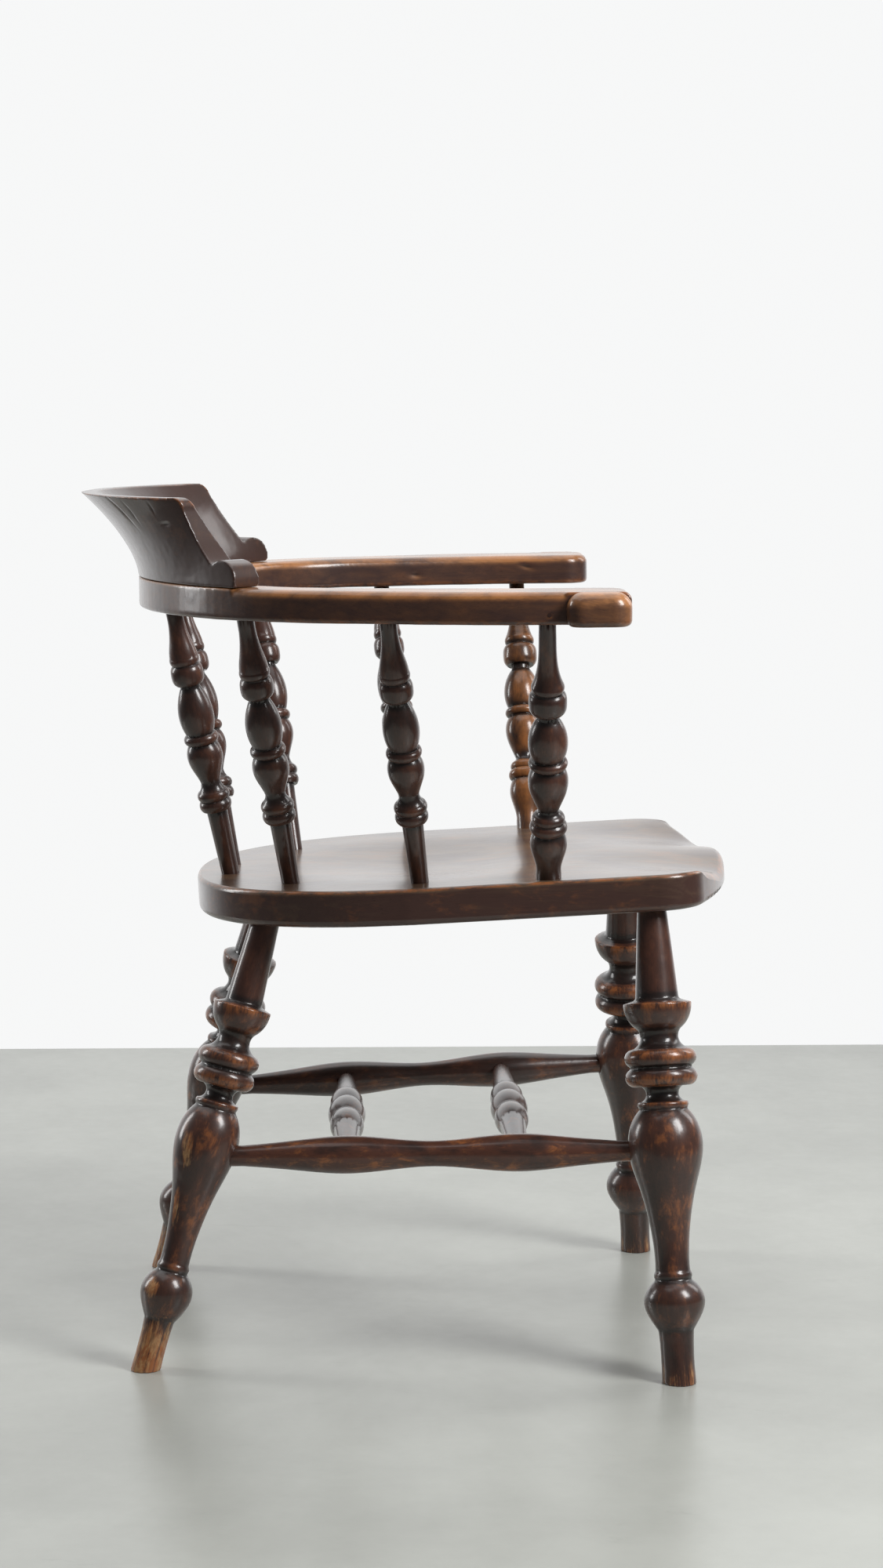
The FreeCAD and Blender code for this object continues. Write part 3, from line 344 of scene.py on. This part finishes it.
def wood_material(name, centre, along, looks):
    """A finish for one piece; looks gives the group's inputs, or makes them from the graph."""
    material = bpy.data.materials.new(name)
    material.use_nodes = True
    tree = material.node_tree
    shader = tree.nodes["Principled BSDF"]
    wear = bpy.context.scene.chair_wear
    colours = bpy.context.scene.chair_colours
    graph = Graph(tree)
    coordinates = graph.node("TexCoord", {})
    turn = Vector((0, 0, 1)).rotation_difference(along).to_euler()
    mapping = graph.node(
        "Mapping",
        {"Vector": coordinates.outputs["Object"], "Location": centre, "Rotation": turn},
        vector_type="TEXTURE",
    )
    group = tree.nodes.new("ShaderNodeGroup")
    group.node_tree = bpy.data.node_groups["Aged polished wood"]
    given = {
        "Vector": mapping.outputs[0],
        "Relief": graph.node("Attribute", {}, attribute_name="relief").outputs["Fac"],
        "Wear": wear.rings,
        "Patches": wear.patches,
        "Dullness": wear.roughness,
        "Groove Colour": (*colours.groove, 1),
        "Stain Colour": (*colours.stain, 1),
        "Warm Colour": (*colours.warm, 1),
        "Worn Colour": (*colours.worn, 1),
        "Bare Colour": (*colours.bare, 1),
    }
    given.update(looks(graph, coordinates.outputs, colours))
    for socket, value in given.items():
        graph.put(group.inputs[socket], value)
    graph.put(shader.inputs["Base Color"], group.outputs["Color"])
    graph.put(shader.inputs["Roughness"], group.outputs["Roughness"])
    shader.inputs["Specular IOR Level"].default_value = SPECULAR_LEVEL
    shader.inputs["Coat Weight"].default_value = wear.polish
    shader.inputs["Coat Roughness"].default_value = COAT_ROUGHNESS
    bump = graph.node(
        "Bump",
        {"Height": group.outputs["Height"], "Distance": wear.grain_depth, "Strength": GRAIN_STRENGTH},
    )
    graph.put(shader.inputs["Normal"], bump.outputs[0])
    return material


def height_above(graph, outputs, low, high):
    """1 at the floor end and 0 higher up, by the height of a point of the chair."""
    z = graph.node("SeparateXYZ", {0: outputs["Object"]}).outputs[2]
    return graph.math("SUBTRACT", 1.0, graph.between(z, low, high))


def worn_spot(graph, outputs, centre, width, height):
    """1 in the middle of an upright patch of the chair, fading to 0 at its edge."""
    offset = graph.node("VectorMath", {0: outputs["Object"], 1: centre}, operation="SUBTRACT").outputs[0]
    scaled = graph.stretched(offset, (2 / width, 2 / width, 2 / height))
    distance = graph.node("VectorMath", {0: scaled}, operation="LENGTH").outputs["Value"]
    return graph.math("SUBTRACT", 1.0, graph.between(distance, 0.2, 1.0))


# Painted light: 1 on faces turned upwards, which take the lighter top colour as if lit from above, and 0
# on the sides
def painted_top_light(graph, outputs):
    z = graph.node("SeparateXYZ", {0: outputs["Normal"]}).outputs[2]
    return graph.between(z, -0.05, 0.45)


def select_only(piece):
    bpy.ops.object.select_all(action="DESELECT")
    piece.select_set(True)
    bpy.context.view_layer.objects.active = piece


def points_of(piece):
    points = np.zeros(len(piece.data.vertices) * 3, np.float32)
    piece.data.vertices.foreach_get("co", points)
    return points.reshape(-1, 3).astype(float)


def apply_modifier(piece, kind, **settings):
    modifier = piece.modifiers.new(kind.title(), kind)
    for name, value in settings.items():
        setattr(modifier, name, value)
    select_only(piece)
    bpy.ops.object.modifier_apply(modifier=modifier.name)


def welded_copy(name):
    """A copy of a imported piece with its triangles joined, which stands for it."""
    piece = bpy.data.objects.new(name + WORN_SUFFIX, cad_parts[name].data.copy())
    bpy.context.scene.collection.objects.link(piece)
    select_only(piece)
    bpy.ops.object.mode_set(mode="EDIT")
    bpy.ops.mesh.select_all(action="SELECT")
    bpy.ops.mesh.remove_doubles(threshold=WELD_GAP)
    bpy.ops.object.mode_set(mode="OBJECT")
    piece.data.materials.clear()
    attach(piece, "root")
    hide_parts(name)
    return piece


def worn_copy(name, spacing, soft_passes):
    """A copy with evenly spaced faces, softened edges and an uneven surface."""
    piece = welded_copy(name)
    bpy.ops.mesh.customdata_custom_splitnormals_clear()
    apply_modifier(piece, "REMESH", mode="VOXEL", voxel_size=spacing, use_smooth_shade=True)
    apply_modifier(piece, "SMOOTH", factor=0.5, iterations=soft_passes)
    uneven_surface(piece)
    return piece


def uneven_surface(piece):
    """Shallow waves that a hand tool leaves, never outside the piece's own size."""
    texture = bpy.data.textures.get("Tool waves")
    if texture is None:
        texture = bpy.data.textures.new("Tool waves", "CLOUDS")
        texture.noise_scale = TOOL_WAVE
    apply_modifier(
        piece,
        "DISPLACE",
        texture=texture,
        texture_coords="LOCAL",
        strength=bpy.context.scene.chair_wear.wobble,
        mid_level=1.0,
    )


def press_dents(piece, dents):
    """Presses long shallow dents into a piece, each along its own direction."""
    points = points_of(piece)
    normals = np.zeros(len(points) * 3, np.float32)
    piece.data.vertex_normals.foreach_get("vector", normals)
    for place, direction, length, width, depth in dents:
        along = np.array(Vector(direction).normalized())
        offset = points - np.array(place)
        reach = offset @ along
        side = np.linalg.norm(offset - np.outer(reach, along), axis=1)
        press = depth * np.exp(-((2 * reach / length) ** 2) - (2 * side / width) ** 2)
        points -= normals.reshape(-1, 3) * press[:, None]
    piece.data.vertices.foreach_set("co", points.ravel())
    piece.data.update()


def store_relief(piece, relief):
    """Keeps how far each point stands proud of its surroundings, in millimetres."""
    attribute = piece.data.attributes.new("relief", "FLOAT", "POINT")
    attribute.data.foreach_set("value", (relief / MILLIMETRE).astype(np.float32))


def turned_axis(name):
    """The ends of a turned piece's axis, as a line through the middles of its slices."""
    points = points_of(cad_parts[name])
    middle = points.mean(axis=0)
    directions = np.linalg.svd(points - middle, full_matrices=False)[2]
    for _ in range(AXIS_ROUNDS):
        place = (points - middle) @ directions.T
        bins = np.linspace(place[:, 0].min(), place[:, 0].max() + MILLIMETRE, AXIS_SLICES + 1)
        centres = []
        for low, high in zip(bins, bins[1:]):
            part = place[(place[:, 0] >= low) & (place[:, 0] < high)]
            if len(part) > SLICE_POINTS:
                centres.append((part.min(axis=0) + part.max(axis=0)) / 2)
        centres = np.array(centres)
        slope, offset = np.polyfit(centres[:, 0], centres[:, 1:], 1)
        middle = middle + offset @ directions[1:]
        axis = directions[0] + slope @ directions[1:]
        axis /= np.linalg.norm(axis)
        across = np.cross(axis, directions[1])
        across /= np.linalg.norm(across)
        directions = np.array([axis, np.cross(across, axis), across])
    along = (points - middle) @ directions[0]
    ends = [Vector(middle + directions[0] * reach) for reach in (along.min(), along.max())]
    return sorted(ends, key=lambda end: end.z)


def turned_relief(piece, low, high):
    """Compares each point's radius with the smoothed profile of the turning."""
    axis = np.array((high - low).normalized())
    offset = points_of(piece) - np.array(low)
    along = offset @ axis
    radius = np.linalg.norm(offset - np.outer(along, axis), axis=1)
    place = np.clip((along / PROFILE_STEP).astype(int), 0, int((high - low).length / PROFILE_STEP))
    profile = np.zeros(place.max() + 1)
    np.maximum.at(profile, place, radius)
    measured = np.flatnonzero(profile)
    profile = np.interp(np.arange(len(profile)), measured, profile[measured])
    reach = np.arange(-PROFILE_REACH, PROFILE_REACH + 1)
    weights = np.exp(-0.5 * (reach * PROFILE_STEP / PROFILE_SPREAD) ** 2)
    padded = np.pad(profile, PROFILE_REACH, mode="edge")
    smoothed = np.convolve(padded, weights / weights.sum(), mode="valid")
    store_relief(piece, radius - smoothed[place])


def surface_relief(piece, passes):
    """Compares each point with the average of its neighbours, spread over some passes."""
    mesh = piece.data
    edges = np.zeros(len(mesh.edges) * 2, np.int32)
    mesh.edges.foreach_get("vertices", edges)
    first, second = edges.reshape(-1, 2).T
    points = points_of(piece)
    count = np.bincount(np.concatenate((first, second)), minlength=len(points))
    smooth = points.copy()
    for _ in range(passes):
        for axis in range(3):
            total = np.bincount(first, smooth[second, axis], len(points))
            total += np.bincount(second, smooth[first, axis], len(points))
            smooth[:, axis] = 0.5 * smooth[:, axis] + 0.5 * total / np.maximum(count, 1)
    normals = np.zeros(len(points) * 3, np.float32)
    mesh.vertex_normals.foreach_get("vector", normals)
    store_relief(piece, EDGE_GAIN * ((points - smooth) * normals.reshape(-1, 3)).sum(axis=1))


def dress_turned(name, looks, spacing=None):
    """Gives a turned piece a finish that follows its own axis, and softens it if it has a spacing."""
    low, high = turned_axis(name)
    piece = worn_copy(name, spacing, 1) if spacing else welded_copy(name)
    turned_relief(piece, low, high)
    piece.data.materials.append(wood_material(name, low, high - low, looks))
    return piece


class CHAIR_OT_legs(bpy.types.Operator):
    """Dress the four turned legs"""

    bl_idname = "chair.legs"
    bl_label = "Legs"

    def execute(self, context):
        for end in ("front", "back"):
            for side in SIDES:
                dress_turned(f"{end}_{side}_leg", getattr(self, end), LEG_SPACING)
        return {"FINISHED"}

    @staticmethod
    def shared(graph, outputs):
        """The tops of the legs, out of reach of shoes, are less worn."""
        in_reach = height_above(graph, outputs, *SHOE_REACH)
        patches = bpy.context.scene.chair_wear.patches
        return {
            "Warmth": 0.9,
            "Patches": graph.math("MULTIPLY_ADD", in_reach, 0.85 * patches, 0.15 * patches),
            "Figure": 0.4,
        }

    @classmethod
    def front(cls, graph, outputs, colours):
        foot = height_above(graph, outputs, *FRONT_FOOT)
        bareness = graph.math("MULTIPLY", foot, FRONT_FOOT_BARENESS)
        return {**cls.shared(graph, outputs), "Bareness": bareness}

    @classmethod
    def back(cls, graph, outputs, colours):
        foot = height_above(graph, outputs, *BACK_FOOT)
        bareness = graph.math("MULTIPLY", foot, BACK_FOOT_BARENESS)
        for centre, width, height in BACK_LEG_STREAKS:
            spot = worn_spot(graph, outputs, centre, width, height)
            bareness = graph.math("MAXIMUM", bareness, graph.math("MULTIPLY", spot, STREAK_BARENESS))
        return {**cls.shared(graph, outputs), "Bareness": bareness}


class CHAIR_OT_stretchers(bpy.types.Operator):
    """Dress the side and cross stretchers"""

    bl_idname = "chair.stretchers"
    bl_label = "Stretchers"

    def execute(self, context):
        # The right side stretcher gets more orange, more patches and more figure than the other three
        def orange_looks(graph, outputs, colours):
            return {"Warmth": 2.2, "Patches": 1.0, "Figure": 0.8}

        def looks(graph, outputs, colours):
            return {"Warmth": 0.9, "Patches": 0.4, "Figure": 0.5}

        dress_turned("right_side_stretcher", orange_looks)
        for name in ("left_side", "front_cross", "back_cross"):
            dress_turned(name + "_stretcher", looks)
        return {"FINISHED"}


class CHAIR_OT_spindles(bpy.types.Operator):
    """Dress the eight spindles"""

    bl_idname = "chair.spindles"
    bl_label = "Spindles"

    def execute(self, context):
        def looks(graph, outputs, colours):
            return {"Warmth": 0.85, "Wear": 0.16, "Patches": 0.14, "Figure": 0.4}

        def warm_looks(graph, outputs, colours):
            return {
                "Warmth": 1.05,
                "Wear": 0.4,
                "Patches": 0.4,
                "Figure": 0.6,
                "Warm Colour": (*colours.light, 1),
            }

        for side in SIDES:
            for spindle in SPINDLES:
                warm = side == "left" and spindle == "front_spindle"
                dress_turned(f"{side}_{spindle}", warm_looks if warm else looks)
        return {"FINISHED"}


class CHAIR_OT_arms(bpy.types.Operator):
    """Dress the two halves of the arm bow"""

    bl_idname = "chair.arms"
    bl_label = "Arms"

    def execute(self, context):
        crest_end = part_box("crest_rail")[0].y

        def looks(graph, outputs, colours):
            y = graph.node("SeparateXYZ", {0: outputs["Object"]}).outputs[1]
            in_reach = graph.math("SUBTRACT", 1.0, graph.between(y, crest_end - 0.02, crest_end + 0.01))
            return {
                # Painted light: the upward faces take the lit golden colour and the sides keep the dark
                # board colour
                "Warmth": graph.math("MULTIPLY_ADD", painted_top_light(graph, outputs), 1.2, 0.06),
                "Wear": graph.math("MULTIPLY", in_reach, context.scene.chair_wear.edges),
                "Patches": 0.1,
                "Figure": 0.14,
                "Stain Colour": (*colours.board, 1),
                "Warm Colour": (*colours.lit_golden, 1),
            }

        for side in SIDES:
            piece = worn_copy(side + "_arm", ARM_SPACING, 2)
            press_dents(piece, ARM_DENTS[side])
            surface_relief(piece, 14)
            low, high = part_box(side + "_arm")
            centre = Vector((high.x if side == "left" else low.x, high.y, low.z - 0.03))
            material = wood_material(side + "_arm", centre, Vector((0, 1, 0)), looks)
            piece.data.materials.append(material)
        return {"FINISHED"}


class CHAIR_OT_hand_blocks(bpy.types.Operator):
    """Dress the blocks glued to the arm tips"""

    bl_idname = "chair.hand_blocks"
    bl_label = "Hand blocks"

    def execute(self, context):
        def looks(graph, outputs, colours):
            return {
                # Painted light: the upward faces take the lit golden colour and the sides keep the
                # darker board colour
                "Warmth": graph.math("MULTIPLY_ADD", painted_top_light(graph, outputs), 1.1, 0.45),
                "Wear": context.scene.chair_wear.edges,
                "Patches": 0.15,
                "Figure": 0.2,
                "Stain Colour": (*colours.board, 1),
                "Warm Colour": (*colours.lit_golden, 1),
            }

        for side in SIDES:
            name = side + "_hand_block"
            piece = worn_copy(name, HAND_BLOCK_SPACING, 4)
            surface_relief(piece, 20)
            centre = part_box(name)[0] - Vector((0, 0, 0.02))
            material = wood_material(name, centre, Vector((0.15, 1, 0.1)), looks)
            piece.data.materials.append(material)
        return {"FINISHED"}


class CHAIR_OT_crest(bpy.types.Operator):
    """Dress the crest rail and soften its sawn edges"""

    bl_idname = "chair.crest"
    bl_label = "Crest rail"

    def execute(self, context):
        def looks(graph, outputs, colours):
            top_edge = graph.math("SUBTRACT", 1.0, height_above(graph, outputs, *CREST_TOP))
            return {
                "Warmth": 0.8,
                "Wear": graph.math("MULTIPLY", top_edge, context.scene.chair_wear.edges),
                "Patches": 0.1,
                "Figure": 0.3,
                "Stain Colour": (*colours.board, 1),
                "Warm Colour": (*colours.crest, 1),
            }

        piece = worn_copy("crest_rail", CREST_SPACING, 4)
        press_dents(piece, CREST_DENTS)
        surface_relief(piece, 16)
        low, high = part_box("crest_rail")
        centre = Vector((0, high.y, low.z - 0.04))
        material = wood_material("crest_rail", centre, Vector((1, 0, 0.04)), looks)
        piece.data.materials.append(material)
        return {"FINISHED"}


class CHAIR_OT_seat(bpy.types.Operator):
    """Dress the seat plank"""

    bl_idname = "chair.seat"
    bl_label = "Seat"

    def execute(self, context):
        def looks(graph, outputs, colours):
            z = graph.node("SeparateXYZ", {0: outputs["Normal"]}).outputs[2]
            below_top = graph.math("SUBTRACT", 1.0, graph.between(z, 0.75, 0.97))
            # Partly painted highlight: the pale worn colour on the rounded band of the top edge stands
            # for edge wear and for the highlight along it
            edge_wear_and_highlight = graph.math("MULTIPLY", graph.between(z, 0.2, 0.6), below_top)
            return {
                "Relief": graph.math("MULTIPLY", edge_wear_and_highlight, 2.2),
                # Partly painted light: the upward top takes the paler seat colour and the sides the dark
                # board colour; partly the top's own tone
                "Warmth": painted_top_light(graph, outputs),
                "Wear": context.scene.chair_wear.edges,
                "Patches": 0.25,
                "Figure": 0.6,
                "Dullness": 0.26,
                "Stain Colour": (*colours.board, 1),
                "Warm Colour": (*colours.seat, 1),
            }

        low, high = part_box("seat")
        centre = Vector((0.05, high.y, low.z - 0.25))
        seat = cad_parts["seat"]
        material = wood_material("seat", centre, Vector((0, 1, 0)), looks)
        seat.material_slots[0].material = material
        return {"FINISHED"}


class CHAIR_OT_pegs(bpy.types.Operator):
    """Dress the dowels of the crest rail and the pegs in the arms"""

    bl_idname = "chair.pegs"
    bl_label = "Pegs"

    def execute(self, context):
        def looks(graph, outputs, colours):
            return {"Relief": -0.5, "Warmth": 0.8, "Figure": 0.1}

        for name in ("crest_dowels", "arm_pins"):
            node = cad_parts[name]
            material = wood_material(name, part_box(name)[0], Vector((1, 0, 0)), looks)
            node.material_slots[0].material = material
        return {"FINISHED"}


class CHAIR_OT_stage(bpy.types.Operator):
    """Set the chair on a pale floor with soft lights and the camera"""

    bl_idname = "chair.stage"
    bl_label = "Stage"

    def execute(self, context):
        studio = context.scene.chair_studio
        context.scene.view_settings.view_transform = "Standard"
        self.floor(studio)
        self.sky()
        for light in LIGHTS:
            self.soft_light(*light)
        self.camera(studio)
        return {"FINISHED"}

    @staticmethod
    def floor(studio):
        bpy.ops.object.select_all(action="DESELECT")
        bpy.ops.mesh.primitive_plane_add(size=studio.floor_size)
        floor = bpy.context.active_object
        floor.name = "studio_floor"
        material = bpy.data.materials.new("Pale floor")
        material.use_nodes = True
        shader = material.node_tree.nodes["Principled BSDF"]
        graph = Graph(material.node_tree)
        place = graph.node("TexCoord", {}).outputs["Object"]
        cloud = graph.noise(place, 1.8, 8.0, 0.68)
        streaks = graph.noise(graph.stretched(place, (34, 9, 1)), 1.0, 8.0, 0.75, 0.6)
        scuffs = graph.between(streaks, 0.6, 0.76)
        grit = graph.noise(place, 60.0, 4.0, 0.6)
        pale = (*studio.floor_colour, 1)
        darker = tuple(SCUFF_SHADE * value for value in studio.floor_colour) + (1,)
        shading = graph.clamped("MULTIPLY_ADD", scuffs, 0.5, graph.between(cloud, 0.3, 0.7))
        graph.put(shader.inputs["Base Color"], graph.blend(shading, pale, darker))
        graph.put(shader.inputs["Roughness"], graph.math("MULTIPLY_ADD", grit, 0.14, 0.24))
        floor.data.materials.append(material)

    @staticmethod
    def sky():
        """White for the camera; for reflections, bright beyond the chair and dim in front of it."""
        world = bpy.data.worlds.new("Studio")
        world.use_nodes = True
        bpy.context.scene.world = world
        graph = Graph(world.node_tree)
        background = world.node_tree.nodes["Background"]
        direction = graph.node("TexCoord", {}).outputs["Generated"]
        x = graph.node("SeparateXYZ", {0: direction}).outputs[0]
        glow = graph.blend(graph.between(x, 0.3, 0.95), NEAR_GLOW, FAR_GLOW)
        seen = graph.node("LightPath", {}).outputs["Is Camera Ray"]
        graph.put(background.inputs["Color"], graph.blend(seen, glow, WALL))

    @staticmethod
    def soft_light(name, place, size, power):
        data = bpy.data.lights.new(name, "AREA")
        data.shape = "RECTANGLE"
        data.size, data.size_y = size
        data.energy = power
        light = bpy.data.objects.new(name, data)
        bpy.context.scene.collection.objects.link(light)
        light.location = place
        light.visible_camera = False
        light.rotation_mode = "QUATERNION"
        light.rotation_quaternion = (Vector(LIT_POINT) - Vector(place)).to_track_quat("-Z", "Y")

    @staticmethod
    def camera(studio):
        data = bpy.data.cameras.new("Camera")
        data.lens = studio.lens
        camera = bpy.data.objects.new("Camera", data)
        bpy.context.scene.collection.objects.link(camera)
        camera.location = studio.place
        level = math.cos(studio.pitch)
        ahead, aside = level * math.cos(studio.yaw), level * math.sin(studio.yaw)
        view = Vector((ahead, aside, -math.sin(studio.pitch)))
        camera.rotation_mode = "QUATERNION"
        camera.rotation_quaternion = view.to_track_quat("-Z", "Y")
        bpy.context.scene.camera = camera


OPERATORS = (
    CHAIR_OT_legs,
    CHAIR_OT_stretchers,
    CHAIR_OT_spindles,
    CHAIR_OT_arms,
    CHAIR_OT_hand_blocks,
    CHAIR_OT_crest,
    CHAIR_OT_seat,
    CHAIR_OT_pegs,
    CHAIR_OT_stage,
)


class CHAIR_PT_finish(bpy.types.Panel):
    """Lists the chair's finishes"""

    bl_label = "Captain's chair"
    bl_idname = "CHAIR_PT_finish"
    bl_space_type = "VIEW_3D"
    bl_region_type = "UI"
    bl_category = "Chair"

    def draw(self, context):
        scene = context.scene
        for settings in (scene.chair_colours, scene.chair_wear, scene.chair_studio):
            box = self.layout.box()
            for name in settings.__annotations__:
                box.prop(settings, name)
        for operator in OPERATORS:
            self.layout.operator(operator.bl_idname)


CLASSES = (ChairColours, ChairWear, ChairStudio, *OPERATORS, CHAIR_PT_finish)


def register():
    for cls in CLASSES:
        bpy.utils.register_class(cls)
    bpy.types.Scene.chair_colours = bpy.props.PointerProperty(type=ChairColours)
    bpy.types.Scene.chair_wear = bpy.props.PointerProperty(type=ChairWear)
    bpy.types.Scene.chair_studio = bpy.props.PointerProperty(type=ChairStudio)


def unregister():
    del bpy.types.Scene.chair_studio
    del bpy.types.Scene.chair_wear
    del bpy.types.Scene.chair_colours
    for cls in reversed(CLASSES):
        bpy.utils.unregister_class(cls)


def main():
    register()
    aged_wood_group()
    for operator in OPERATORS:
        category, name = operator.bl_idname.split(".")
        getattr(getattr(bpy.ops, category), name)()


if __name__ == "__main__":
    main()
